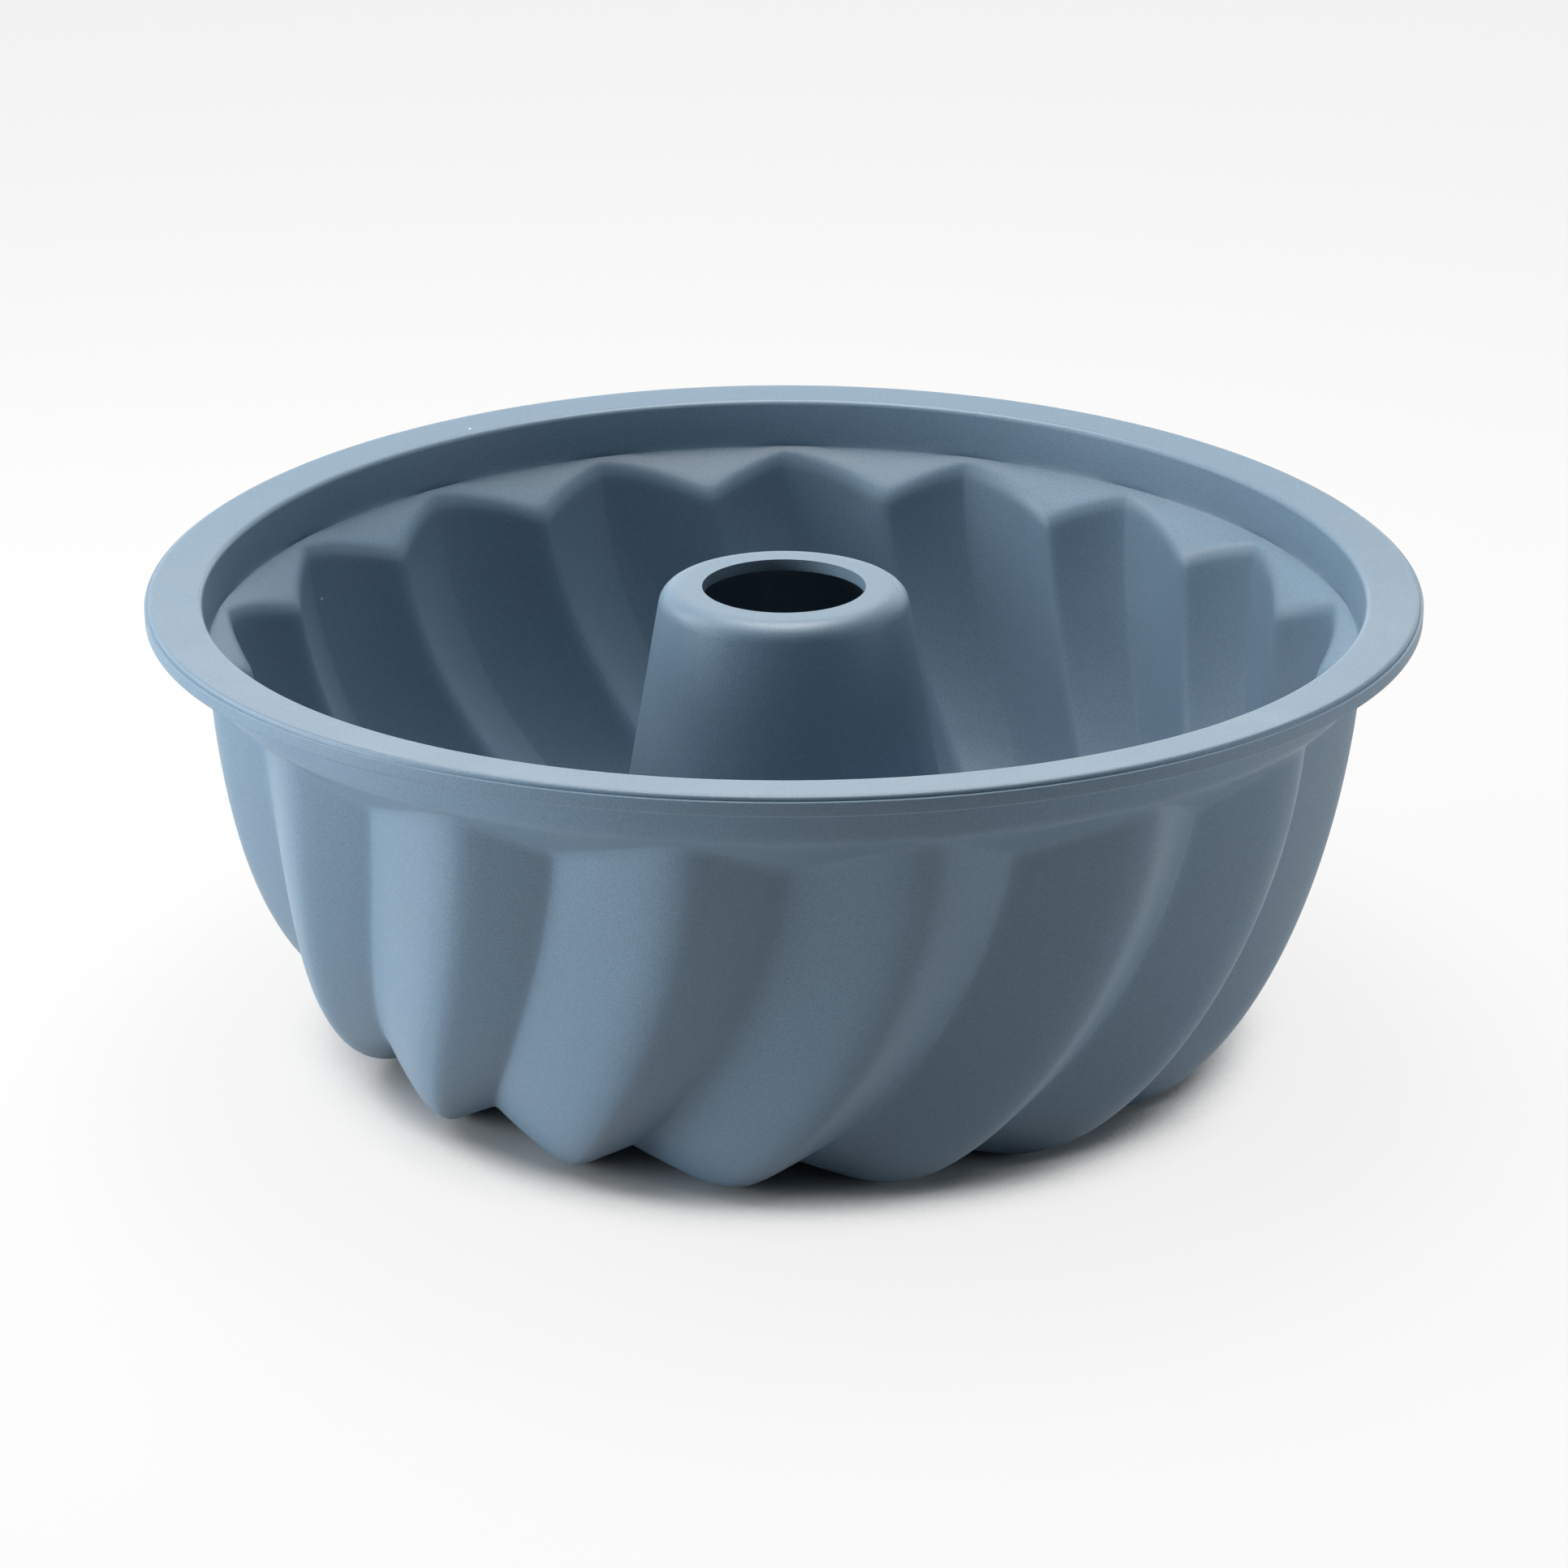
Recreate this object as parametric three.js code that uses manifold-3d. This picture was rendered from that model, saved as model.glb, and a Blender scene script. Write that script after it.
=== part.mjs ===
// Fluted tube pan: a silicone body moulded in one piece, and the steel hoop that stiffens its rim.
// Millimetres, +Z up. The origin is on the axis of the tube, at the level that the pan stands on.
import * as THREE from 'three';
import { mergeVertices } from 'three/addons/utils/BufferGeometryUtils.js';
import Module from 'manifold-3d';

// Overall sizes
const HEIGHT = 96;
const RIM_RADIUS = 125;
const WALL = 2.4;

// Rim: a flat flange, split round its edge by the parting line of the mould
const RIM_WIDTH = 11.1;
const RIM_THICKNESS = 3.6;
const RIM_TOP_ROUND = 0.8;
const RIM_FOOT_ROUND = 0.5;
const PARTING_STEP = 0.4;
const MOUTH_ROUND = 1.2;

// Collar under the rim, and the sloping ledge where the flutes begin
const COLLAR_DEPTH = 11.3;
const COLLAR_DRAFT = 0.5;
const COLLAR_ROUND = 1.5;
const LEDGE_ANGLE = 45;
const LEDGE_AT_CREST = 1.7;

// Flutes: straight flanks between rounded crests and valleys
const FLUTES = 17;
const FLUTE_DEPTH = 6;
const FLUTE_TURN = 22.5;
const CREST_FLAT = 0.12;
const VALLEY_ROUND = 0.12;
const VALLEY_PLACE_TOP = 0.5;
const VALLEY_PLACE_FOOT = 0.43;
const FIRST_CREST = 90.1;

// Side wall, from the ledge round to the foot that the pan stands on
const WALL_DRAFT = 1;
const WALL_STRAIGHT = 34;
const FOOT_RADIUS = 76;
const FOOT_LAND = 5;
const FOOT_SWEEP = 22.5;

// Floor and centre tube
const FLOOR_SWEEP = 16;
const TUBE_BASE_HEIGHT = 30;
const TUBE_BASE_SWEEP = 18;
const TUBE_TOP_DROP = 5.1;
const TUBE_TOP_RADIUS = 25;
const TUBE_TAPER = 9.7;
const TUBE_TOP_ROUND = 3.2;
const TUBE_HOLE_RADIUS = 16.2;
const FLUTE_FADE_HEIGHT = 70;

// Steel hoop inside the rim, and the holes that the mould's support pins leave under it
const HOOP_WIDTH = 5;
const HOOP_THICKNESS = 1;
const HOOP_GAP = 0.3;
const PIN_HOLES = 8;
const PIN_HOLE_RADIUS = 1.2;

// Fineness of the mesh
const WALL_ROWS = 8;
const FLOOR_ROWS = 5;
const TUBE_ROWS = 3;
const ROUND_STEPS = 2;
const HOOP_STEPS = 96;
const PIN_STEPS = 12;

const wasm = await Module();
wasm.setup();

const radians = THREE.MathUtils.degToRad;
const lerp = THREE.MathUtils.lerp;
const point = (r, z) => new THREE.Vector2(r, z);

// Heights and radii that follow from the sizes above. "Outside" is the dry side of the silicone.
const rimFoot = HEIGHT - RIM_THICKNESS;
const mouthRadius = RIM_RADIUS - RIM_WIDTH;
const ledgeTop = HEIGHT - COLLAR_DEPTH - WALL * Math.tan(radians(LEDGE_ANGLE / 2));
const collarSlope = COLLAR_DRAFT / COLLAR_DEPTH;
const collarOutside = (z) => mouthRadius + WALL - (HEIGHT - z) * collarSlope;
const tubeTop = HEIGHT - TUBE_TOP_DROP;
const tubeSlope = Math.tan(radians(TUBE_TAPER));
const tubeOutside = (z) => TUBE_TOP_RADIUS - WALL / Math.cos(radians(TUBE_TAPER)) + (tubeTop - z) * tubeSlope;

// The run of a crest on the outside: down the wall, under the foot, across the floor and up the tube.
const crestTop = point(collarOutside(ledgeTop) - LEDGE_AT_CREST, ledgeTop);
const wallEnd = point(FOOT_RADIUS + FOOT_LAND / 2, 0);
const floorStart = point(FOOT_RADIUS - FOOT_LAND / 2, 0);
const floorEnd = point(tubeOutside(TUBE_BASE_HEIGHT), TUBE_BASE_HEIGHT);
const tubeEnd = point(tubeOutside(tubeTop - WALL), tubeTop - WALL);
const wallCurve = new THREE.CubicBezierCurve(
  crestTop,
  point(crestTop.x - WALL_DRAFT, crestTop.y - WALL_STRAIGHT),
  point(wallEnd.x + FOOT_SWEEP, 0),
  wallEnd,
);
const floorCurve = new THREE.CubicBezierCurve(
  floorStart,
  point(floorStart.x - FLOOR_SWEEP, 0),
  point(floorEnd.x + TUBE_BASE_SWEEP * tubeSlope, floorEnd.y - TUBE_BASE_SWEEP),
  floorEnd,
);
const tubeLine = new THREE.LineCurve(floorEnd, tubeEnd);
const wallLength = wallCurve.getLength();
const floorLength = FOOT_LAND + floorCurve.getLength();
const fadeLength = floorLength + (FLUTE_FADE_HEIGHT - TUBE_BASE_HEIGHT) / Math.cos(radians(TUBE_TAPER));

// Share of a flute's depth at a share of the way from its crest to its valley.
function depthShare(way) {
  const flank = 1 - CREST_FLAT - VALLEY_ROUND / 2;
  return way < 1 ? (way - CREST_FLAT) / flank : 1;
}

// One flute takes five lanes, from its crest through the valley to the next crest.
const ways = [CREST_FLAT, 1 - VALLEY_ROUND];
const lanes = [
  ...ways.map((way) => ({ way, rising: false })),
  { way: 1, rising: false },
  ...ways.toReversed().map((way) => ({ way, rising: true })),
];

// Place of a lane along the pitch of its flute, for a place of the valley.
function lanePlace(lane, valleyPlace) {
  return lane.rising ? 1 - lane.way * (1 - valleyPlace) : lane.way * valleyPlace;
}

// Turn of the flutes, in degrees, at a length along the crest from the ledge. It quickens down the
// wall and dies away again across the floor and up the tube.
function turnAt(length) {
  const share = length / wallLength;
  if (share <= 1) {
    return FLUTE_TURN * share * share;
  }
  const fade = Math.min((length - wallLength) / fadeLength, 1);
  const slowing = 2 * FLUTE_TURN * (fadeLength / wallLength);
  return FLUTE_TURN + slowing * (fade - fade * fade + fade * fade * fade / 3);
}

// Depth of the flutes at a length along the crest: full on the wall, then fading out on the tube.
function depthAt(length) {
  const fade = THREE.MathUtils.clamp((length - wallLength) / fadeLength, 0, 1);
  return FLUTE_DEPTH * (1 - fade) ** 2;
}

// A point of the fluted skin: off the crest's run by the share of the depth that its lane has.
function flutedPoint(curve, share, startLength, curveLength, depth) {
  const length = startLength + share * curveLength;
  const place = curve.getPointAt(share);
  const along = curve.getTangentAt(share);
  const inward = point(along.y, -along.x);
  place.addScaledVector(inward, depthAt(length) * depth);
  return { place, turn: turnAt(length), valley: Math.min(length / wallLength, 1), fluted: 1 };
}

// Where the ledge meets the wall in one lane, as a share of the wall's length.
function ledgeMeets(depth) {
  const slope = Math.tan(radians(LEDGE_ANGLE));
  let above = 0;
  let below = 0.6;
  for (let step = 0; step < 40; step += 1) {
    const middle = (above + below) / 2;
    const { place } = flutedPoint(wallCurve, middle, 0, wallLength, depth);
    const ledge = ledgeTop - (collarOutside(ledgeTop) - place.x) * slope;
    if (place.y > ledge) {
      above = middle;
    } else {
      below = middle;
    }
  }
  return (above + below) / 2;
}

// Points of a rounding, from one direction to another, both in degrees.
function rounding(centre, radius, from, to) {
  const points = [];
  for (let step = 0; step <= ROUND_STEPS; step += 1) {
    const angle = radians(lerp(from, to, step / ROUND_STEPS));
    points.push(point(centre.x + radius * Math.cos(angle), centre.y + radius * Math.sin(angle)));
  }
  return points;
}

const plain = (place, turn = 0) => ({ place, turn, valley: 0, fluted: 0 });

// Outside of one lane, from the collar down, under and up to the edge of the tube's hole.
function outsideRun(lane) {
  const depth = depthShare(lane.way);
  const meets = ledgeMeets(depth);
  const run = [plain(point(collarOutside(rimFoot - COLLAR_ROUND), rimFoot - COLLAR_ROUND))];
  run.push(plain(point(collarOutside(ledgeTop), ledgeTop)));
  run[1].fluted = 1;
  for (let row = 0; row <= WALL_ROWS; row += 1) {
    run.push(flutedPoint(wallCurve, lerp(meets, 1, row / WALL_ROWS), 0, wallLength, depth));
  }
  for (let row = 0; row <= FLOOR_ROWS; row += 1) {
    const start = wallLength + FOOT_LAND;
    run.push(flutedPoint(floorCurve, row / FLOOR_ROWS, start, floorLength - FOOT_LAND, depth));
  }
  const tubeLength = tubeLine.getLength();
  for (let row = 1; row < TUBE_ROWS; row += 1) {
    run.push(flutedPoint(tubeLine, row / TUBE_ROWS, wallLength + floorLength, tubeLength, depth));
  }
  const lastTurn = turnAt(wallLength + fadeLength);
  const innerRound = TUBE_TOP_ROUND - WALL;
  const cornerZ = tubeTop - TUBE_TOP_ROUND;
  const centre = point(tubeOutside(cornerZ) - innerRound, cornerZ);
  for (const place of rounding(centre, innerRound, TUBE_TAPER, 90)) {
    run.push(plain(place, lastTurn));
  }
  run.push(plain(point(TUBE_HOLE_RADIUS, tubeTop - WALL), lastTurn));
  return run;
}

// The same run moved in by the thickness of the wall, with its corners mitred.
function insideRun(run) {
  const inward = (from, to) => {
    const along = to.place.clone().sub(from.place).normalize();
    return point(along.y, -along.x);
  };
  return run.map((spot, index) => {
    const before = inward(run[Math.max(index - 1, 0)], run[Math.max(index, 1)]);
    const after = inward(run[Math.min(index, run.length - 2)], run[Math.min(index + 1, run.length - 1)]);
    const mitre = before.add(after);
    mitre.multiplyScalar(2 * WALL / mitre.lengthSq());
    return { ...spot, place: spot.place.clone().add(mitre) };
  });
}

// Section of the rim: from the mouth over the flat top, round the edge and back under to the collar.
function rimRun() {
  const mouth = point(mouthRadius + MOUTH_ROUND, HEIGHT - MOUTH_ROUND);
  const edge = point(RIM_RADIUS - PARTING_STEP - RIM_TOP_ROUND, HEIGHT - RIM_TOP_ROUND);
  const collar = point(collarOutside(rimFoot) + COLLAR_ROUND, rimFoot - COLLAR_ROUND);
  return [
    ...rounding(mouth, MOUTH_ROUND, 180, 90),
    ...rounding(edge, RIM_TOP_ROUND, 90, 0),
    point(RIM_RADIUS, HEIGHT - RIM_TOP_ROUND),
    point(RIM_RADIUS, rimFoot + RIM_FOOT_ROUND),
    point(RIM_RADIUS - RIM_FOOT_ROUND, rimFoot),
    ...rounding(collar, COLLAR_ROUND, 90, 180).slice(0, -1),
  ].map((place) => plain(place));
}

// The silicone body: the closed section of every lane, joined to the section of the next lane.
function siliconeSkin() {
  const columns = FLUTES * lanes.length;
  const positions = [];
  const indices = [];
  let rows = 0;
  for (let column = 0; column < columns; column += 1) {
    const lane = lanes[column % lanes.length];
    const flute = Math.floor(column / lanes.length);
    const outside = outsideRun(lane);
    const section = [...rimRun(), ...outside, ...insideRun(outside).reverse()];
    rows = section.length;
    for (const { place, turn, valley, fluted } of section) {
      const valleyPlace = lerp(VALLEY_PLACE_TOP, VALLEY_PLACE_FOOT, valley);
      const onFlute = flute + lanePlace(lane, valleyPlace);
      const evenly = (column + 0.5) / lanes.length;
      const pitches = fluted ? onFlute : evenly;
      const angle = radians(FIRST_CREST - turn + pitches * 360 / FLUTES);
      positions.push(place.x * Math.cos(angle), place.x * Math.sin(angle), place.y);
    }
  }
  for (let column = 0; column < columns; column += 1) {
    const next = (column + 1) % columns;
    for (let row = 0; row < rows; row += 1) {
      const below = (row + 1) % rows;
      const a = column * rows + row;
      const b = column * rows + below;
      const c = next * rows + below;
      const d = next * rows + row;
      indices.push(a, b, d, b, c, d);
    }
  }
  const skin = new THREE.BufferGeometry();
  skin.setAttribute('position', new THREE.Float32BufferAttribute(positions, 3));
  skin.setIndex(indices);
  return skin;
}

// A flat ring about the axis, grown by a margin on every side.
function ring(margin) {
  const middle = lerp(mouthRadius + MOUTH_ROUND, RIM_RADIUS - RIM_TOP_ROUND, 0.5);
  const level = (HEIGHT + rimFoot) / 2;
  const halfWidth = HOOP_WIDTH / 2 + margin;
  const halfHeight = HOOP_THICKNESS / 2 + margin;
  const section = [
    point(middle - halfWidth, level - halfHeight),
    point(middle + halfWidth, level - halfHeight),
    point(middle + halfWidth, level + halfHeight),
    point(middle - halfWidth, level + halfHeight),
    point(middle - halfWidth, level - halfHeight),
  ];
  const lathe = new THREE.LatheGeometry(section, HOOP_STEPS);
  lathe.rotateX(Math.PI / 2);
  return { lathe, middle, level };
}

// Solid from a geometry, and back again.
function solid(geometry) {
  const bare = geometry.clone();
  bare.deleteAttribute('normal');
  bare.deleteAttribute('uv');
  const merged = mergeVertices(bare, 1e-4);
  return new wasm.Manifold(new wasm.Mesh({
    numProp: 3,
    vertProperties: new Float32Array(merged.attributes.position.array),
    triVerts: new Uint32Array(merged.index.array),
  }));
}

function geometryOf(manifold) {
  const mesh = manifold.getMesh();
  const geometry = new THREE.BufferGeometry();
  geometry.setAttribute('position', new THREE.BufferAttribute(mesh.vertProperties, 3));
  geometry.setIndex(new THREE.BufferAttribute(mesh.triVerts, 1));
  geometry.computeVertexNormals();
  return geometry;
}

// The channel that the silicone leaves round the hoop, opened by the support-pin holes under the rim.
function hoopChannel() {
  const { lathe, middle, level } = ring(HOOP_GAP);
  let channel = solid(lathe);
  const depth = level - rimFoot + HOOP_GAP;
  for (let hole = 0; hole < PIN_HOLES; hole += 1) {
    const angle = 2 * Math.PI * hole / PIN_HOLES;
    const pin = new THREE.CylinderGeometry(PIN_HOLE_RADIUS, PIN_HOLE_RADIUS, depth, PIN_STEPS);
    pin.rotateX(Math.PI / 2);
    pin.translate(middle * Math.cos(angle), middle * Math.sin(angle), level - depth / 2);
    channel = channel.add(solid(pin));
  }
  return channel;
}

const silicone = new THREE.MeshStandardMaterial({ color: 0x62788f, roughness: 0.6, metalness: 0 });
const steel = new THREE.MeshStandardMaterial({ color: 0xb4b6b8, roughness: 0.35, metalness: 1 });

const body = new THREE.Mesh(geometryOf(solid(siliconeSkin()).subtract(hoopChannel())), silicone);
body.name = 'pan_body';

const hoop = new THREE.Mesh(geometryOf(solid(ring(0).lathe)), steel);
hoop.name = 'rim_hoop';

const pan = new THREE.Group();
pan.name = 'fluted_tube_pan';
pan.add(body, hoop);

export default pan;
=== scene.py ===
# Silicone fluted tube pan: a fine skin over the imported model, its materials, a studio and the camera.
import math

import bmesh
import bpy
import numpy as np
from mathutils import Matrix, Vector


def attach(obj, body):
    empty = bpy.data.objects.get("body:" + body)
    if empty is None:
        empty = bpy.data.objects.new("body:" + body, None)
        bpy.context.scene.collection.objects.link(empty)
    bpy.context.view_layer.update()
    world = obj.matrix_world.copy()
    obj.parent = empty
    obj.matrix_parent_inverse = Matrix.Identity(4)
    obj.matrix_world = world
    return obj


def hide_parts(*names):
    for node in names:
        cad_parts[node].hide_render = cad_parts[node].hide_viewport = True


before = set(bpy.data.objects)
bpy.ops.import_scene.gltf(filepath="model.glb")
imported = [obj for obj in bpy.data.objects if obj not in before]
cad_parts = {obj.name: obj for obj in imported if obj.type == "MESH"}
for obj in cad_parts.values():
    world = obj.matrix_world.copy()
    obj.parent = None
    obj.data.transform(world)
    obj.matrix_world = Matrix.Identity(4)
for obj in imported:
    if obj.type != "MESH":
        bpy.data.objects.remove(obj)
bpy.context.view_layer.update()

# Sizes are in millimetres, as in the part's source, and meshes are made in metres.
MM = 0.001

# Overall sizes
HEIGHT = 96
RIM_RADIUS = 125
WALL = 2.4

# Rim: a flat flange, with the small step of the mould's parting line round its edge
RIM_WIDTH = 11.1
RIM_THICKNESS = 3.6
RIM_TOP_ROUND = 0.8
RIM_FOOT_ROUND = 0.5
PARTING_STEP = 0.6
PARTING_BEVEL = 0.1
MOUTH_ROUND = 1.2

# Collar under the rim, and the sloping ledge where the flutes begin
COLLAR_DEPTH = 11.3
COLLAR_DRAFT = 0.5
COLLAR_ROUND = 1.5
LEDGE_ANGLE = 45
LEDGE_AT_CREST = 1.7

# Flutes: straight flanks between rounded crests and valleys outside, and grooves with bowed flanks
# inside, where a bow of 1 is straight. Flats, roundings and places are shares of the way across.
FLUTES = 17
FLUTE_DEPTH = 6
FLUTE_TURN = 22.5
CREST_FLAT = 0.12
VALLEY_ROUND = 0.07
INNER_BOW_LEFT = 1.2
INNER_BOW_RIGHT = 1.5
INNER_VALLEY_ROUND = 0.12
VALLEY_PLACE_TOP = 0.43
VALLEY_PLACE_FOOT = 0.34
FIRST_CREST = 90.1

# Side wall, from the ledge round to the foot that the pan stands on
WALL_DRAFT = 1
WALL_STRAIGHT = 34
FOOT_RADIUS = 76
FOOT_LAND = 5
FOOT_SWEEP = 22.5

# Floor and centre tube
FLOOR_SWEEP = 16
TUBE_BASE_HEIGHT = 30
TUBE_BASE_SWEEP = 18
TUBE_TOP_DROP = 5.1
TUBE_TOP_RADIUS = 24.3
TUBE_TAPER = 9.7
TUBE_TOP_ROUND = 4
TUBE_HOLE_RADIUS = 16.2
FLUTE_FADE_HEIGHT = 70

# Steel hoop inside the rim, and the holes that the mould's support pins leave under it
HOOP_WIDTH = 5
HOOP_THICKNESS = 1
HOOP_GAP = 0.3
PIN_HOLES = 8
PIN_HOLE_RADIUS = 1.2

# What only the skin has: softened corners, a rim that droops, by a mean that is doubled at its two sides,
# a rim top that falls towards the mouth, and flutes that stand a little unevenly. Their shifts are in
# degrees, and the right side has more of the first one, by a share.
CORNER_ROUND = 0.45
LEDGE_CORNER_ROUND = 0.4
GROOVE_CORNER_ROUND = 1
RIM_DROOP = 1.2
RIM_DISH = 0.7
FLUTE_SHIFT = 1
FLUTE_SHIFT_RIGHT = 1.4
FOOT_SHIFT = 3

# Fineness of the skin
LANES = 24
LANE_CROWDING = 0.8
RIM_STEP = 0.8
COLLAR_ROWS = 6
LEDGE_ROWS = 7
WALL_ROWS = 52
FLOOR_ROWS = 24
TUBE_ROWS = 16
CROWN_ROWS = 6
ROUND_STEPS = 8
RIM_FOOT_STEPS = 6
CURVE_STEPS = 400
SEARCH_STEPS = 40
SEARCH_REACH = 0.6
SOFTENING_STEPS = 15
SOFTENING_REACH = 2.5
HOOP_STEPS = 192
PIN_STEPS = 32
SHARP_ANGLE = 40

# Range that a soft random share mostly keeps to
NOISE_LOW = 0.3
NOISE_HIGH = 0.7

# Silicone: colours are linear, scales count waves in a metre, and heights are in millimetres
SILICONE_DARK = (0.113, 0.176, 0.239)
SILICONE_LIGHT = (0.147, 0.231, 0.314)
SILICONE_ROUGHNESS = (0.41, 0.49)
CLOUD_SCALE = 60
CLOUD_DETAIL = 3
GRAIN_SCALE = 2400
GRAIN_DETAIL = 2
GRAIN_HEIGHT = 0.012
GRAIN_SHARE = 0.85
SPECK_SCALE = 70
SPECK_SIZE = 0.022
SPECK_SHARE = 0.25
DUST = (0.6, 0.63, 0.66)

# Steel strip
STEEL_DARK = (0.48, 0.49, 0.5)
STEEL_LIGHT = (0.62, 0.63, 0.64)
STEEL_ROUGHNESS = (0.25, 0.4)
STEEL_LINE_SCALE = 3000
STEEL_LINE_DETAIL = 4
STEEL_LINE_HEIGHT = 0.02

# Studio: a pale floor in a dark room. It is lifted to white, but less and less between two shares of
# the open sky within reach, where the pan hides the rest.
FLOOR_SIZE = 8000
FLOOR_COLOUR = (0.55, 0.55, 0.55, 1)
FLOOR_LIFT = 0.86
FLOOR_SHADE_REACH = 80
FLOOR_SHADE_FROM = 0.47
FLOOR_SHADE_FULL = 0.25
WORLD_COLOUR = (0, 0, 0, 1)

# Broad low suns: name, azimuth and elevation in degrees, strength, and whether reflections show them
SUN_ACROSS = 36
SUNS = [
    ("left", 180, 8, 1.65, False),
    ("back_left", 120, 8, 0.25, True),
    ("back", 90, 8, 0.65, True),
    ("back_right", 60, 8, 0.55, True),
]

# Soft boxes: name, place and size across in millimetres, power in watts and colour
WARM_WHITE = (1, 0.96, 0.92)
COOL_WHITE = (0.84, 0.94, 1)
BOX_AIM = (0, 0, 50)
BOXES = [
    ("top", (0, 0, 1200), 800, 8.7, WARM_WHITE),
    ("top_back", (0, 250, 700), 400, 3.8, WARM_WHITE),
    ("left_low", (-500, 100, 400), 400, 2.2, WARM_WHITE),
    ("left_front", (-600, -200, 80), 300, 3, COOL_WHITE),
    ("right_front", (600, -100, 80), 300, 1.15, COOL_WHITE),
]

# Camera of the photograph, fitted to the rim: distances in millimetres, places in pixels
IMAGE_SIZE = 1932
CAMERA_DISTANCE = 800
CAMERA_ELEVATION = 18.67
PIXELS_PER_MM = 6.24
RIM_CENTRE_X = 966
RIM_CENTRE_Y = 691.3
SENSOR_WIDTH = 36


# Materials
def node(tree, kind, **inputs):
    """A new node with some of its inputs set. Sockets are linked and values are written."""
    made = tree.nodes.new(kind)
    for name, value in inputs.items():
        socket = made.inputs[name.replace("_", " ")]
        if isinstance(value, bpy.types.NodeSocket):
            tree.links.new(value, socket)
        else:
            socket.default_value = value
    return made


def noise(tree, position, scale, detail):
    """A soft random share from 0 to 1. The scale counts its waves in a metre."""
    made = node(tree, "ShaderNodeTexNoise", Vector=position, Scale=scale, Detail=detail)
    return made.outputs["Fac"]


def spread(tree, share, low, high):
    """A random share stretched to run from a low to a high value."""
    made = node(tree, "ShaderNodeMapRange", Value=share, To_Min=low, To_Max=high)
    made.inputs["From Min"].default_value = NOISE_LOW
    made.inputs["From Max"].default_value = NOISE_HIGH
    return made.outputs["Result"]


def between(tree, share, first, second):
    """A value part of the way from a first to a second."""
    made = tree.nodes.new("ShaderNodeMix")
    made.inputs["Factor"].default_value = share
    values = [socket for socket in made.inputs if socket.type == "VALUE" and socket.name != "Factor"]
    for socket, value in zip(values, (first, second)):
        tree.links.new(value, socket)
    return next(socket for socket in made.outputs if socket.type == "VALUE")


def mixed(tree, share, first, second):
    """A colour part of the way from a first to a second."""
    made = tree.nodes.new("ShaderNodeMix")
    made.data_type = "RGBA"
    tree.links.new(share, made.inputs["Factor"])
    colours = [socket for socket in made.inputs if socket.type == "RGBA"]
    for socket, colour in zip(colours, (first, second)):
        if isinstance(colour, bpy.types.NodeSocket):
            tree.links.new(colour, socket)
        else:
            socket.default_value = (*colour, 1)
    return next(socket for socket in made.outputs if socket.type == "RGBA")


def specks(tree, position):
    """Share that is 1 on sparse specks of dust and 0 elsewhere."""
    cells = node(tree, "ShaderNodeTexVoronoi", Vector=position, Scale=SPECK_SCALE)
    near = node(tree, "ShaderNodeMath", Value=cells.outputs["Distance"])
    near.operation = "LESS_THAN"
    near.inputs[1].default_value = SPECK_SIZE
    chosen = node(tree, "ShaderNodeSeparateColor", Color=cells.outputs["Color"])
    few = node(tree, "ShaderNodeMath", Value=chosen.outputs["Red"])
    few.operation = "LESS_THAN"
    few.inputs[1].default_value = SPECK_SHARE
    both = node(tree, "ShaderNodeMath", Value=near.outputs["Value"])
    both.operation = "MULTIPLY"
    tree.links.new(few.outputs["Value"], both.inputs[1])
    return both.outputs["Value"]


def new_material(name):
    """A material with its tree, its shader, and places on the object in metres."""
    material = bpy.data.materials.new(name)
    material.use_nodes = True
    tree = material.node_tree
    position = tree.nodes.new("ShaderNodeTexCoord").outputs["Object"]
    return material, tree, tree.nodes["Principled BSDF"], position


def silicone_material():
    """Satin blue-grey silicone: cloudy colour, fine grain and a few specks of dust."""
    material, tree, shader, position = new_material("silicone_blue_grey")
    clouds = noise(tree, position, CLOUD_SCALE, CLOUD_DETAIL)
    grain = noise(tree, position, GRAIN_SCALE, GRAIN_DETAIL)
    mottle = between(tree, GRAIN_SHARE, clouds, grain)
    colour = mixed(tree, spread(tree, mottle, 0, 1), SILICONE_DARK, SILICONE_LIGHT)
    dusty = mixed(tree, specks(tree, position), colour, DUST)
    tree.links.new(dusty, shader.inputs["Base Color"])
    tree.links.new(spread(tree, clouds, *SILICONE_ROUGHNESS), shader.inputs["Roughness"])
    bump = node(tree, "ShaderNodeBump", Height=grain, Distance=GRAIN_HEIGHT * MM, Strength=1)
    tree.links.new(bump.outputs["Normal"], shader.inputs["Normal"])
    return material


def steel_material():
    """Plain cut steel strip, with fine lines that run along it."""
    material, tree, shader, position = new_material("steel_strip")
    place = node(tree, "ShaderNodeSeparateXYZ", Vector=position)
    flat = node(tree, "ShaderNodeCombineXYZ", X=place.outputs["X"], Y=place.outputs["Y"])
    radius = node(tree, "ShaderNodeVectorMath", Vector=flat.outputs["Vector"])
    radius.operation = "LENGTH"
    across = node(tree, "ShaderNodeCombineXYZ", X=radius.outputs["Value"], Y=place.outputs["Z"])
    lines = noise(tree, across.outputs["Vector"], STEEL_LINE_SCALE, STEEL_LINE_DETAIL)
    colour = mixed(tree, spread(tree, lines, 0, 1), STEEL_DARK, STEEL_LIGHT)
    tree.links.new(colour, shader.inputs["Base Color"])
    tree.links.new(spread(tree, lines, *STEEL_ROUGHNESS), shader.inputs["Roughness"])
    bump = node(tree, "ShaderNodeBump", Height=lines, Distance=STEEL_LINE_HEIGHT * MM, Strength=1)
    tree.links.new(bump.outputs["Normal"], shader.inputs["Normal"])
    shader.inputs["Metallic"].default_value = 1
    return material


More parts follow.
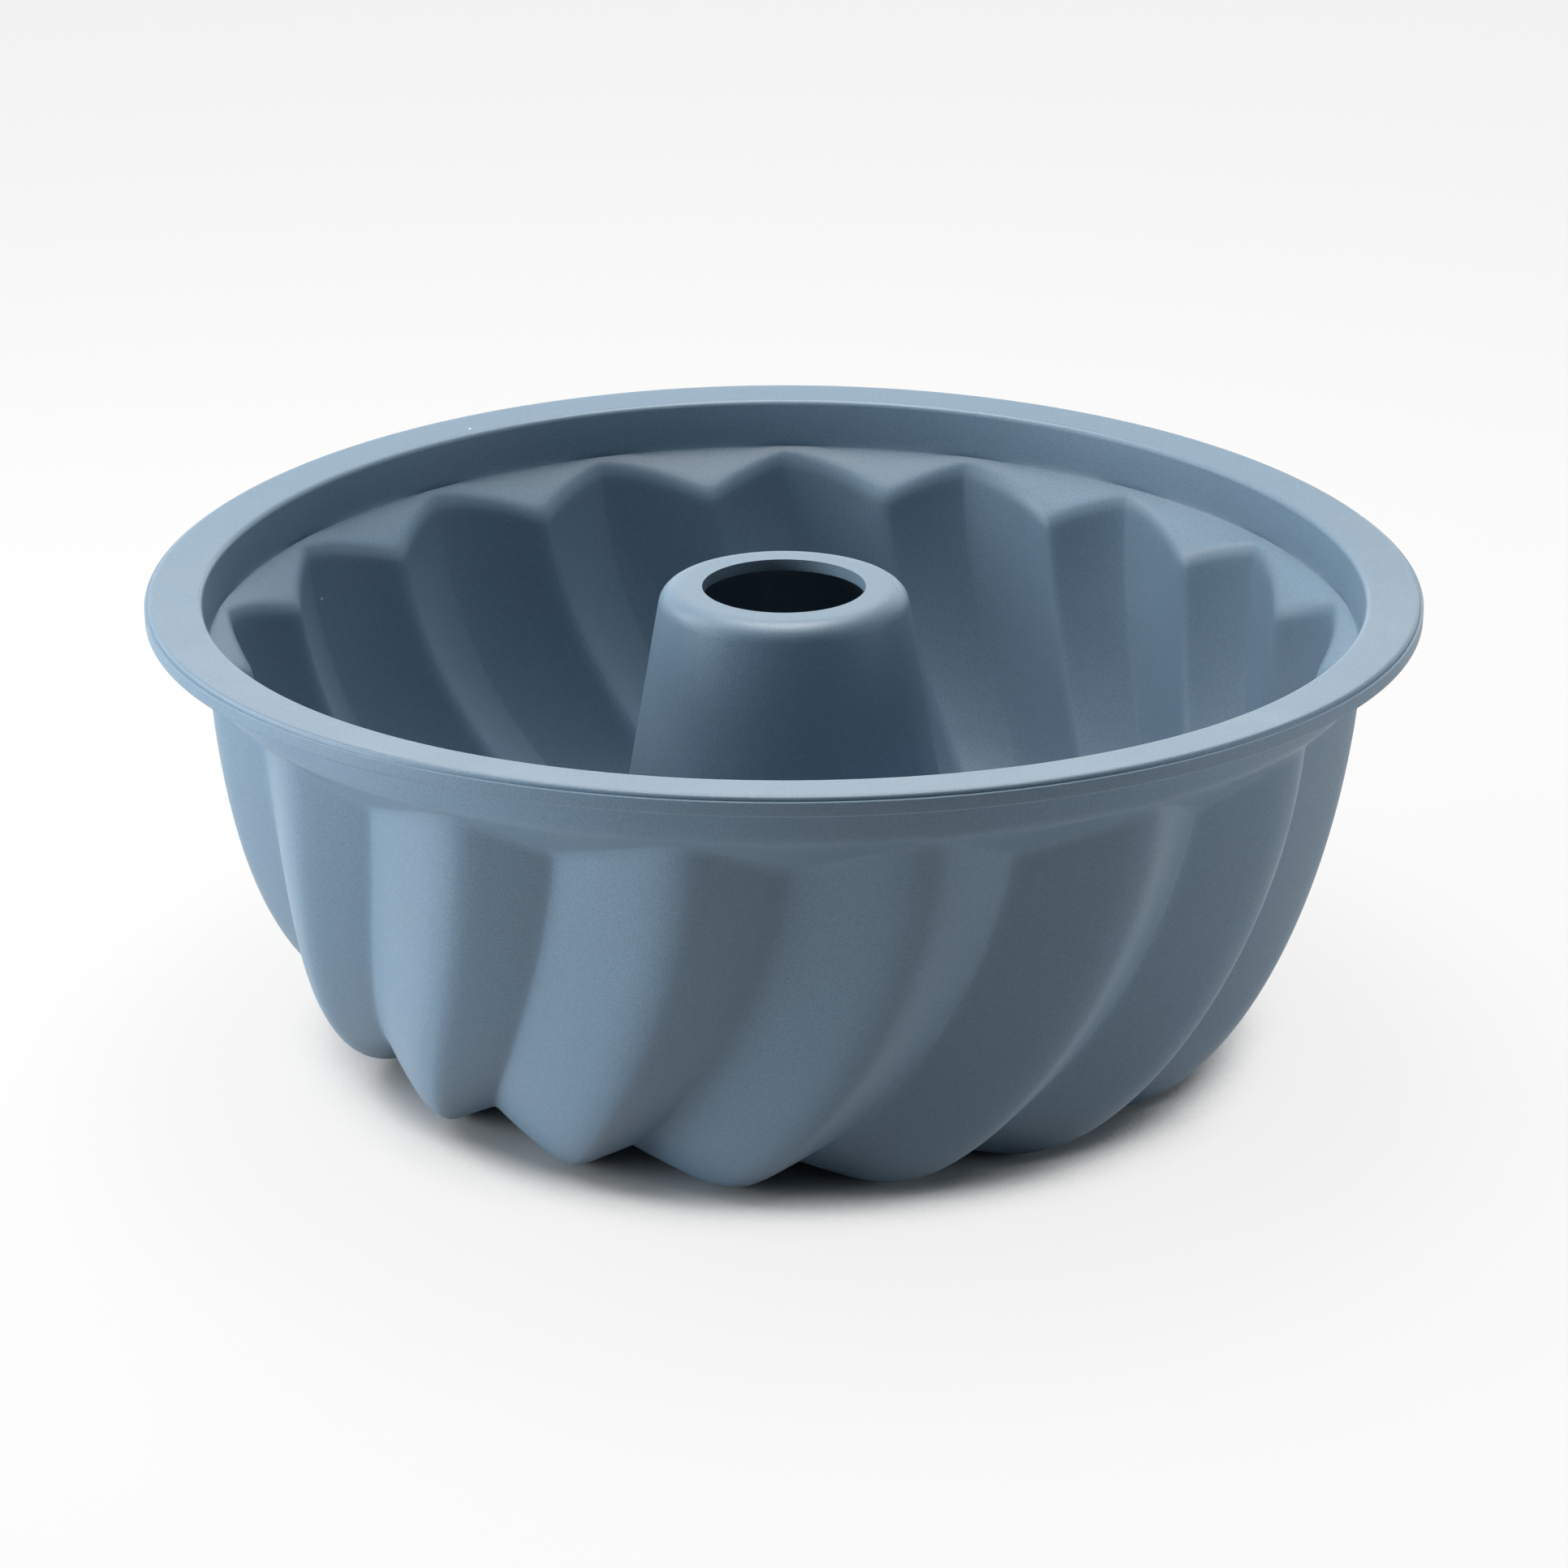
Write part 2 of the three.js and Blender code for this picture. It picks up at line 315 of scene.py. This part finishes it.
# Shape of the pan
def point(r, z):
    return np.array([r, z], float)


def tan_degrees(angle):
    return math.tan(math.radians(angle))


# Heights and radii that follow from the sizes above. "Outside" is the dry side of the silicone.
RIM_FOOT = HEIGHT - RIM_THICKNESS
MOUTH_RADIUS = RIM_RADIUS - RIM_WIDTH
LEDGE_INNER_TOP = HEIGHT - COLLAR_DEPTH
LEDGE_TOP = LEDGE_INNER_TOP - WALL * tan_degrees(LEDGE_ANGLE / 2)
HOOP_RADIUS = (MOUTH_RADIUS + MOUTH_ROUND + RIM_RADIUS - RIM_TOP_ROUND) / 2
HOOP_LEVEL = (HEIGHT + RIM_FOOT) / 2
TUBE_TOP = HEIGHT - TUBE_TOP_DROP
TUBE_SLOPE = tan_degrees(TUBE_TAPER)


def collar_outside(z):
    return MOUTH_RADIUS + WALL - (HEIGHT - z) * COLLAR_DRAFT / COLLAR_DEPTH


def tube_outside(z):
    across = WALL / math.cos(math.radians(TUBE_TAPER))
    return TUBE_TOP_RADIUS - across + (TUBE_TOP - z) * TUBE_SLOPE


class Run:
    """A smooth run of a crest in the section of the pan, measured by its length."""

    def __init__(self, *corners):
        t = np.linspace(0, 1, CURVE_STEPS)[:, None]
        a, b, c, d = corners
        self.places = (1 - t) ** 3 * a + 3 * (1 - t) ** 2 * t * b + 3 * (1 - t) * t ** 2 * c + t ** 3 * d
        along = (1 - t) ** 2 * (b - a) + 2 * (1 - t) * t * (c - b) + t ** 2 * (d - c)
        self.along = along / np.linalg.norm(along, axis=1)[:, None]
        steps = np.linalg.norm(np.diff(self.places, axis=0), axis=1)
        self.lengths = np.concatenate([[0], np.cumsum(steps)])
        self.length = self.lengths[-1]

    def at(self, lengths):
        """Places and inward directions at lengths along the run."""
        place = np.stack([np.interp(lengths, self.lengths, self.places[:, k]) for k in (0, 1)], -1)
        along = np.stack([np.interp(lengths, self.lengths, self.along[:, k]) for k in (0, 1)], -1)
        return place, np.stack([along[:, 1], -along[:, 0]], -1)


# The run of a crest on the outside: down the wall, under the foot, across the floor and up the tube.
crest_top = point(collar_outside(LEDGE_TOP) - LEDGE_AT_CREST, LEDGE_TOP)
wall_end = point(FOOT_RADIUS + FOOT_LAND / 2, 0)
floor_start = point(FOOT_RADIUS - FOOT_LAND / 2, 0)
floor_end = point(tube_outside(TUBE_BASE_HEIGHT), TUBE_BASE_HEIGHT)
corner_z = TUBE_TOP - TUBE_TOP_ROUND
tube_end = point(tube_outside(corner_z), corner_z)
wall_run = Run(
    crest_top,
    crest_top - point(WALL_DRAFT, WALL_STRAIGHT),
    wall_end + point(FOOT_SWEEP, 0),
    wall_end,
)
floor_run = Run(
    floor_start,
    floor_start - point(FLOOR_SWEEP, 0),
    floor_end + point(TUBE_BASE_SWEEP * TUBE_SLOPE, -TUBE_BASE_SWEEP),
    floor_end,
)
tube_run = Run(floor_end, (2 * floor_end + tube_end) / 3, (floor_end + 2 * tube_end) / 3, tube_end)
floor_length = FOOT_LAND + floor_run.length
fade_length = floor_length + (FLUTE_FADE_HEIGHT - TUBE_BASE_HEIGHT) / math.cos(math.radians(TUBE_TAPER))


def outer_share(way):
    """Share of a flute's depth at a share of the way from its crest to its valley, on the outside."""
    slope = 1 / (1 - CREST_FLAT - VALLEY_ROUND / 2)
    if way < 2 * CREST_FLAT:
        return slope * way ** 2 / (4 * CREST_FLAT)
    if way > 1 - VALLEY_ROUND:
        return 1 - slope * (1 - way) ** 2 / (2 * VALLEY_ROUND)
    return slope * (way - CREST_FLAT)


def inner_share(way, bow):
    """The same share on the inside, where the grooves are bowed and the edges between them rounded."""
    bow_end = 1 - INNER_VALLEY_ROUND
    slope = bow * bow_end ** (bow - 1)
    full = bow_end ** bow + slope * INNER_VALLEY_ROUND / 2
    if way < bow_end:
        return way ** bow / full
    return 1 - slope * (1 - way) ** 2 / (2 * INNER_VALLEY_ROUND * full)


def turn_at(lengths):
    """Turn of the flutes, in degrees. It quickens down the wall and dies away up the tube."""
    share = lengths / wall_run.length
    fade = np.clip((lengths - wall_run.length) / fade_length, 0, 1)
    slowing = 2 * FLUTE_TURN * fade_length / wall_run.length
    past_wall = FLUTE_TURN + slowing * (fade - fade ** 2 + fade ** 3 / 3)
    return np.where(share <= 1, FLUTE_TURN * share ** 2, past_wall)


def fluted(run, lengths, start, share):
    """Places off a crest's run by a share of the flutes' depth, which fades out on the tube."""
    place, inward = run.at(lengths)
    fade = np.clip((start + lengths - wall_run.length) / fade_length, 0, 1)
    depth = FLUTE_DEPTH * (1 - fade) ** 2 * share
    return place + inward * depth[:, None]


def ledge_meets(share):
    """Length along the wall at which the ledge meets it in one lane."""
    above, below = 0.0, SEARCH_REACH * wall_run.length
    for _ in range(SEARCH_STEPS):
        middle = (above + below) / 2
        place = fluted(wall_run, np.array([middle]), 0, share)[0]
        ledge = LEDGE_TOP - (collar_outside(LEDGE_TOP) - place[0]) * tan_degrees(LEDGE_ANGLE)
        if place[1] > ledge:
            above = middle
        else:
            below = middle
    return (above + below) / 2


def rounding(centre, radius, start, end, steps):
    """Points of a rounding, from one direction to another, both in degrees."""
    angles = np.radians(np.linspace(start, end, steps + 1))
    return centre + radius * np.stack([np.cos(angles), np.sin(angles)], -1)


def outside_run(share):
    """Outside of one lane, from the collar to the tube's hole, and the lengths along its crest."""
    collar_z = np.linspace(RIM_FOOT - COLLAR_ROUND, LEDGE_TOP, COLLAR_ROWS + 1)
    collar = np.stack([collar_outside(collar_z), collar_z], -1)
    meets = ledge_meets(share)
    on_wall = np.linspace(meets, wall_run.length, WALL_ROWS + 1)
    wall = fluted(wall_run, on_wall, 0, share)
    on_ledge = np.linspace(0, 1, LEDGE_ROWS + 1)[1:-1, None]
    ledge = collar[-1] * (1 - on_ledge) + wall[0] * on_ledge
    on_floor = np.linspace(0, floor_run.length, FLOOR_ROWS + 1)
    floor = fluted(floor_run, on_floor, wall_run.length + FOOT_LAND, share)
    on_tube = np.linspace(0, tube_run.length, TUBE_ROWS + 1)[1:]
    tube = fluted(tube_run, on_tube, wall_run.length + floor_length, share)
    inner_round = TUBE_TOP_ROUND - WALL
    crown = rounding(tube_end - point(inner_round, 0), inner_round, TUBE_TAPER, 90, CROWN_ROWS)[1:]
    hole_edge = point(TUBE_HOLE_RADIUS, TUBE_TOP - WALL)
    on_crown = np.linspace(0, 1, CROWN_ROWS + 1)[1:, None]
    rest = crown[-1] * (1 - on_crown) + hole_edge * on_crown
    places = np.vstack([collar, ledge, wall, floor, tube, crown, rest])
    lengths = np.concatenate([
        np.zeros(len(collar)),
        on_ledge[:, 0] * meets,
        on_wall,
        wall_run.length + FOOT_LAND + on_floor,
        wall_run.length + floor_length + on_tube,
        np.full(len(crown) + len(rest), wall_run.length + fade_length),
    ])
    return places, lengths


def inside_run(places):
    """The same run moved in by the thickness of the wall, with its corners mitred."""
    along = np.diff(places, axis=0)
    along /= np.linalg.norm(along, axis=1)[:, None]
    inward = np.stack([along[:, 1], -along[:, 0]], -1)
    mitre = np.vstack([inward[:1], inward]) + np.vstack([inward, inward[-1:]])
    return places + mitre * (2 * WALL / (mitre ** 2).sum(1))[:, None]


def softened(places, size):
    """A run with its corners rounded, by averaging it over a short length on both sides."""
    steps = np.linalg.norm(np.diff(places, axis=0), axis=1)
    lengths = np.concatenate([[0], np.cumsum(steps)])
    offsets = np.linspace(-SOFTENING_REACH, SOFTENING_REACH, SOFTENING_STEPS)
    weights = np.exp(-offsets ** 2 / 2)
    to_end = np.minimum(lengths, lengths[-1] - lengths)
    room = np.minimum(to_end / SOFTENING_REACH, size)
    soft = np.zeros_like(places)
    for offset, weight in zip(offsets, weights / weights.sum()):
        for k in (0, 1):
            soft[:, k] += weight * np.interp(lengths + offset * room, lengths, places[:, k])
    return soft


def stepped(places):
    """A run with points added along its straight parts, so that they are shaded flat."""
    finer = []
    for start, end in zip(places[:-1], places[1:]):
        steps = math.ceil(np.linalg.norm(end - start) / RIM_STEP)
        finer.extend(start + (end - start) * step / steps for step in range(steps))
    return np.array([*finer, places[-1]])


def rim_run():
    """Section of the rim: from the mouth over the flat top, round the edge and under to the collar."""
    mouth = point(MOUTH_RADIUS + MOUTH_ROUND, HEIGHT - RIM_DISH - MOUTH_ROUND)
    upper_edge = RIM_RADIUS - PARTING_STEP
    top = point(upper_edge - RIM_TOP_ROUND, HEIGHT - RIM_TOP_ROUND)
    foot = point(RIM_RADIUS - RIM_FOOT_ROUND, RIM_FOOT + RIM_FOOT_ROUND)
    collar = point(collar_outside(RIM_FOOT) + COLLAR_ROUND, RIM_FOOT - COLLAR_ROUND)
    return stepped(np.vstack([
        rounding(mouth, MOUTH_ROUND, 180, 90, ROUND_STEPS),
        rounding(top, RIM_TOP_ROUND, 90, 0, ROUND_STEPS),
        point(RIM_RADIUS - PARTING_BEVEL, HEIGHT - RIM_TOP_ROUND),
        point(RIM_RADIUS, HEIGHT - RIM_TOP_ROUND - PARTING_BEVEL),
        rounding(foot, RIM_FOOT_ROUND, 0, -90, RIM_FOOT_STEPS),
        rounding(collar, COLLAR_ROUND, 90, 180, ROUND_STEPS)[:-1],
    ]))


def drooped(r, angle, z):
    """Height of a place once the rim has drooped at its two sides."""
    reach = np.clip((r - FOOT_RADIUS) / (MOUTH_RADIUS - FOOT_RADIUS), 0, 1)
    return z - RIM_DROOP * (1 + np.cos(2 * angle)) * (z / HEIGHT) ** 2 * reach


def uneven(angle, down):
    """Angle of a place, at a share of the way down the wall, once the flutes stand unevenly."""
    front = 1 - np.sin(angle)
    right = 1 + FLUTE_SHIFT_RIGHT * np.cos(angle)
    shift = FLUTE_SHIFT * front * right - FOOT_SHIFT * down ** 2 * np.cos(angle)
    return angle + np.radians(shift)


def column(section, angle):
    """A section of the pan put in its place in space, in metres."""
    r, z = section.T
    return np.stack([r * np.cos(angle), r * np.sin(angle), drooped(r, angle, z)], -1) * MM


def lane_section(rim, way, bow):
    """Closed section of the pan in one lane, and the lengths along the crest of its places."""
    dry, dry_lengths = outside_run(outer_share(way))
    behind, wet_lengths = outside_run(inner_share(way, bow))
    wet = inside_run(behind)
    heights = (LEDGE_INNER_TOP - LEDGE_AT_CREST, LEDGE_INNER_TOP)
    corner = np.interp(wet[:, 1], heights, (GROOVE_CORNER_ROUND, LEDGE_CORNER_ROUND))
    section = np.vstack([rim, softened(dry, CORNER_ROUND), softened(wet, corner)[::-1]])
    return section, np.concatenate([np.zeros(len(rim)), dry_lengths, wet_lengths[::-1]])


def pan_skin():
    """The silicone's surface: the closed section of every lane, joined to that of the next lane."""
    rim = rim_run()
    half = LANES // 2
    steps = np.linspace(0, 1, half + 1)
    ways = list(steps - LANE_CROWDING * np.sin(2 * math.pi * steps) / (2 * math.pi))
    lanes = [(way, False) for way in ways[:-1]] + [(way, True) for way in ways[:0:-1]]
    sections = {}
    for way in ways:
        sections[way, False] = lane_section(rim, way, INNER_BOW_LEFT)
        sections[way, True] = lane_section(rim, way, INNER_BOW_RIGHT)
    columns = []
    for flute in range(FLUTES):
        for way, rising in lanes:
            section, lengths = sections[way, rising]
            down = np.minimum(lengths / wall_run.length, 1)
            valley = VALLEY_PLACE_TOP + (VALLEY_PLACE_FOOT - VALLEY_PLACE_TOP) * down
            place = 1 - way * (1 - valley) if rising else way * valley
            angle = np.radians(FIRST_CREST - turn_at(lengths) + (flute + place) * 360 / FLUTES)
            columns.append(column(section, uneven(angle, down)))
    return np.array(columns)


def closed_grid(name, grid, material):
    """A mesh object from a grid of places that is closed both ways."""
    columns, rows, _ = grid.shape
    index = np.arange(columns * rows).reshape(columns, rows)
    below = np.roll(index, -1, 1)
    beside = np.roll(index, -1, 0)
    faces = np.stack([index, below, np.roll(below, -1, 0), beside], -1).reshape(-1, 4)
    mesh = bpy.data.meshes.new(name)
    mesh.from_pydata(grid.reshape(-1, 3).tolist(), [], faces.tolist())
    mesh.shade_smooth()
    mesh.materials.append(material)
    body = bpy.data.objects.new(name, mesh)
    bpy.context.collection.objects.link(body)
    return body


def hoop_ring(name, margin, material):
    """A flat ring inside the rim, larger than the steel hoop by a margin on every side."""
    half_width = HOOP_WIDTH / 2 + margin
    half_height = HOOP_THICKNESS / 2 + margin
    edges = [(-1, 1), (1, 1), (1, -1), (-1, -1)]
    section = np.array([point(HOOP_RADIUS + across * half_width, HOOP_LEVEL + up * half_height)
                        for across, up in edges])
    angles = np.linspace(0, 2 * math.pi, HOOP_STEPS, endpoint=False)
    return closed_grid(name, np.array([column(section, angle) for angle in angles]), material)


def pin_cutters():
    """Upright cylinders that cut the holes under the hoop, all in one mesh."""
    cutters = bmesh.new()
    for hole in range(PIN_HOLES):
        angle = 2 * math.pi * hole / PIN_HOLES
        top = drooped(HOOP_RADIUS, angle, HOOP_LEVEL)
        bottom = drooped(HOOP_RADIUS, angle, RIM_FOOT) - HOOP_GAP
        place = (HOOP_RADIUS * math.cos(angle), HOOP_RADIUS * math.sin(angle), (top + bottom) / 2)
        bmesh.ops.create_cone(
            cutters, cap_ends=True, segments=PIN_STEPS, depth=(top - bottom) * MM,
            radius1=PIN_HOLE_RADIUS * MM, radius2=PIN_HOLE_RADIUS * MM,
            matrix=Matrix.Translation(Vector(place) * MM),
        )
    mesh = bpy.data.meshes.new("pin_cutters")
    cutters.to_mesh(mesh)
    cutters.free()
    body = bpy.data.objects.new("pin_cutters", mesh)
    bpy.context.collection.objects.link(body)
    return body


def cut(body, cutters):
    """Takes the cutters out of a body, and removes them from the scene."""
    for cutter in cutters:
        change = body.modifiers.new(cutter.name, "BOOLEAN")
        change.operation = "DIFFERENCE"
        change.solver = "MANIFOLD"
        change.object = cutter
    evaluated = body.evaluated_get(bpy.context.evaluated_depsgraph_get())
    body.data = bpy.data.meshes.new_from_object(evaluated)
    body.modifiers.clear()
    for cutter in cutters:
        bpy.data.objects.remove(cutter)


silicone = silicone_material()
skin = closed_grid("silicone_body", pan_skin(), silicone)
cut(skin, [hoop_ring("hoop_channel", HOOP_GAP, silicone), pin_cutters()])
skin.data.set_sharp_from_angle(angle=math.radians(SHARP_ANGLE))
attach(skin, "root")
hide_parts("pan_body")

hoop = hoop_ring("steel_hoop", 0, steel_material())
hoop.data.set_sharp_from_angle(angle=math.radians(SHARP_ANGLE))
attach(hoop, "root")
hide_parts("rim_hoop")


# Studio
def floor_material():
    """Pale floor that is lifted to white for what sees it, but not close to the pan."""
    material = bpy.data.materials.new("floor_pale")
    material.use_nodes = True
    tree = material.node_tree
    tree.nodes.remove(tree.nodes["Principled BSDF"])
    matt = node(tree, "ShaderNodeBsdfDiffuse", Color=FLOOR_COLOUR)
    white = node(tree, "ShaderNodeEmission", Color=(1, 1, 1, 1), Strength=1)
    rays = tree.nodes.new("ShaderNodeLightPath")
    seen = rays.outputs["Is Camera Ray"]
    for kind in ("Is Glossy Ray", "Is Transmission Ray"):
        either = node(tree, "ShaderNodeMath", Value=seen)
        tree.links.new(rays.outputs[kind], either.inputs[1])
        seen = either.outputs["Value"]
    open_sky = node(tree, "ShaderNodeAmbientOcclusion", Distance=FLOOR_SHADE_REACH * MM)
    unshaded = node(tree, "ShaderNodeMapRange", Value=open_sky.outputs["AO"],
                    From_Min=FLOOR_SHADE_FULL, From_Max=FLOOR_SHADE_FROM)
    unshaded.interpolation_type = "SMOOTHSTEP"
    lift = node(tree, "ShaderNodeMath", Value=seen)
    lift.operation = "MULTIPLY"
    tree.links.new(unshaded.outputs["Result"], lift.inputs[1])
    share = node(tree, "ShaderNodeMath", Value=lift.outputs["Value"])
    share.operation = "MULTIPLY"
    share.inputs[1].default_value = FLOOR_LIFT
    mix = tree.nodes.new("ShaderNodeMixShader")
    tree.links.new(share.outputs["Value"], mix.inputs["Fac"])
    tree.links.new(matt.outputs["BSDF"], mix.inputs[1])
    tree.links.new(white.outputs["Emission"], mix.inputs[2])
    tree.links.new(mix.outputs["Shader"], tree.nodes["Material Output"].inputs["Surface"])
    return material


def floor():
    bpy.ops.mesh.primitive_plane_add(size=FLOOR_SIZE * MM)
    plane = bpy.context.object
    plane.name = "floor"
    plane.data.materials.append(floor_material())


def sun(name, azimuth, elevation, strength, reflected):
    """A broad lamp from a direction: azimuth from +X towards +Y, both angles in degrees."""
    lamp = bpy.data.lights.new(name, "SUN")
    lamp.angle = math.radians(SUN_ACROSS)
    lamp.energy = strength
    light = bpy.data.objects.new(name, lamp)
    light.rotation_euler = (0, math.radians(90 - elevation), math.radians(azimuth))
    light.visible_glossy = reflected
    bpy.context.collection.objects.link(light)


def soft_box(name, place, size, power, colour):
    """A round soft box that is turned to the pan and isn't seen itself."""
    lamp = bpy.data.lights.new(name, "AREA")
    lamp.shape = "DISK"
    lamp.color = colour
    lamp.size = size * MM
    lamp.energy = power
    light = bpy.data.objects.new(name, lamp)
    light.location = Vector(place) * MM
    light.rotation_euler = (Vector(BOX_AIM) - Vector(place)).to_track_quat("-Z", "Y").to_euler()
    light.visible_camera = False
    bpy.context.collection.objects.link(light)


def studio_world():
    world = bpy.data.worlds.new("studio")
    world.use_nodes = True
    world.node_tree.nodes["Background"].inputs["Color"].default_value = WORLD_COLOUR
    bpy.context.scene.world = world


floor()
studio_world()
for sun_values in SUNS:
    sun(*sun_values)
for box_values in BOXES:
    soft_box(*box_values)


def camera():
    focal_pixels = PIXELS_PER_MM * CAMERA_DISTANCE
    elevation = math.radians(CAMERA_ELEVATION)
    data = bpy.data.cameras.new("photo_camera")
    data.sensor_width = SENSOR_WIDTH
    data.lens = focal_pixels / IMAGE_SIZE * SENSOR_WIDTH
    eye = bpy.data.objects.new("photo_camera", data)
    out = CAMERA_DISTANCE * MM * math.cos(elevation)
    up = CAMERA_DISTANCE * MM * math.sin(elevation)
    eye.location = (0, -out, HEIGHT * MM + up)
    middle = IMAGE_SIZE / 2
    down = elevation + math.atan((middle - RIM_CENTRE_Y) / focal_pixels)
    aside = math.atan((RIM_CENTRE_X - middle) / focal_pixels)
    eye.rotation_euler = (math.pi / 2 - down, 0, aside)
    bpy.context.collection.objects.link(eye)
    bpy.context.scene.camera = eye


camera()
bpy.context.scene.view_settings.view_transform = "Standard"
